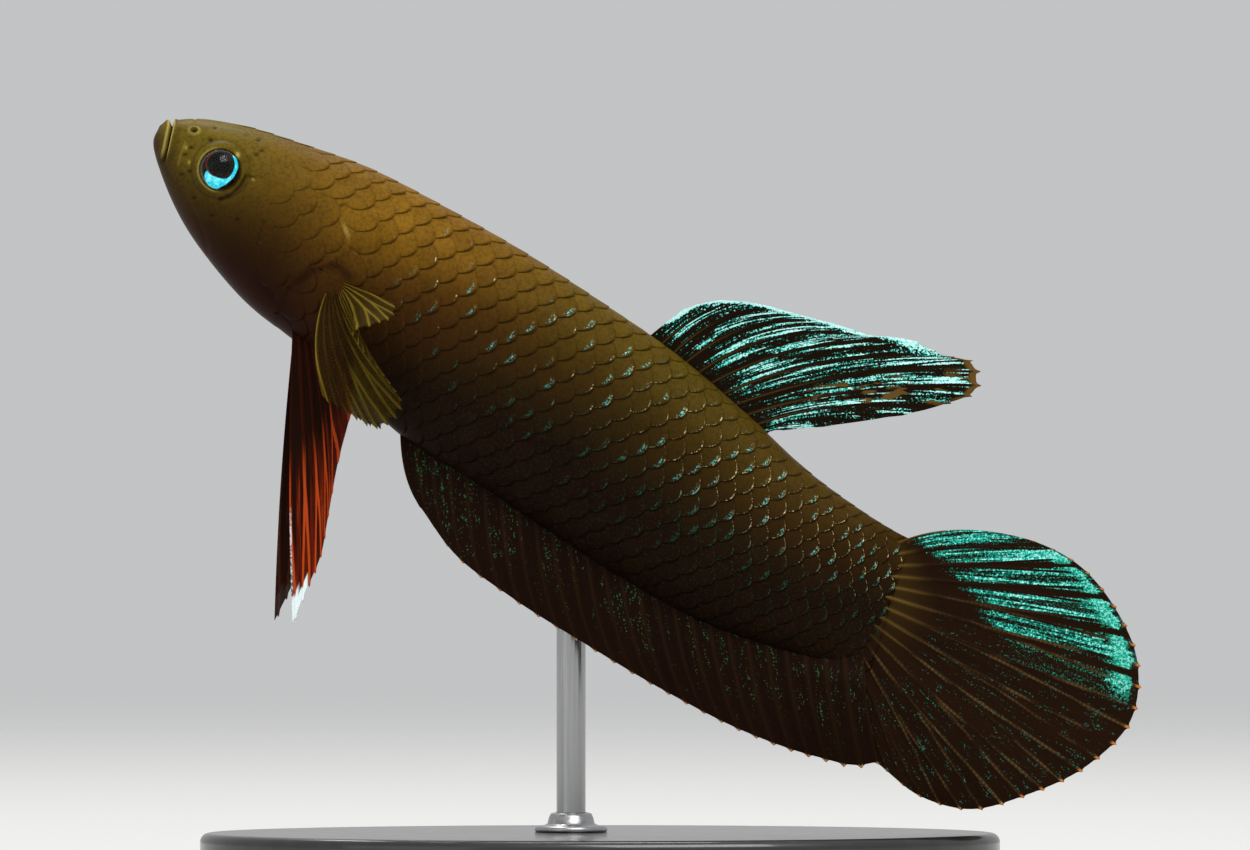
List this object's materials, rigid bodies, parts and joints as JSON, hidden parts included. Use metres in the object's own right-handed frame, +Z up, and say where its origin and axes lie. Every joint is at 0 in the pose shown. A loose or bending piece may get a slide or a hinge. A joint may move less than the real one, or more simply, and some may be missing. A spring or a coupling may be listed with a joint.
{
  "type": "betta fish model",
  "caption": "Small slender fish held nose up on an oval stand, with a round tail fin, a long anal fin, a swept dorsal fin and long pointed pelvic fins.",
  "frame": {"origin": "middle of the underside of the stand's oval base, on the surface it stands on", "axes": "+X from the snout towards the tail, +Z up, and the fish's left side faces -Y"},
  "size_m": [0.0544, 0.028, 0.0433],
  "materials": {
    "skin": "satin scaled skin, olive brown above and dark maroon below",
    "eye": "wet gloss, black pupil and cyan iris",
    "bright_fin": "satin membrane, turquoise sheen between dark rays",
    "dark_fin": "satin membrane, dark maroon with green flecks",
    "red_fin": "satin membrane, orange red with a white tip",
    "clear_fin": "thin translucent olive membrane",
    "stand_wood": "satin black lacquer",
    "stand_steel": "fine brushed"
  },
  "bodies": {
    "root": {"lower_jaw": "skin", "head": "skin", "gill_cover_left": "skin", "gill_cover_right": "skin", "trunk": "skin", "tail_stem": "skin", "eye_left": "eye", "eye_right": "eye", "dorsal_fin": "bright_fin", "caudal_fin": "bright_fin", "anal_fin": "dark_fin", "pelvic_fin_left": "red_fin", "pelvic_fin_right": "red_fin", "pectoral_fin_left": "clear_fin", "pectoral_fin_right": "clear_fin", "stand_base": "stand_wood", "stand_rod": "stand_steel"}
  },
  "joints": []
}
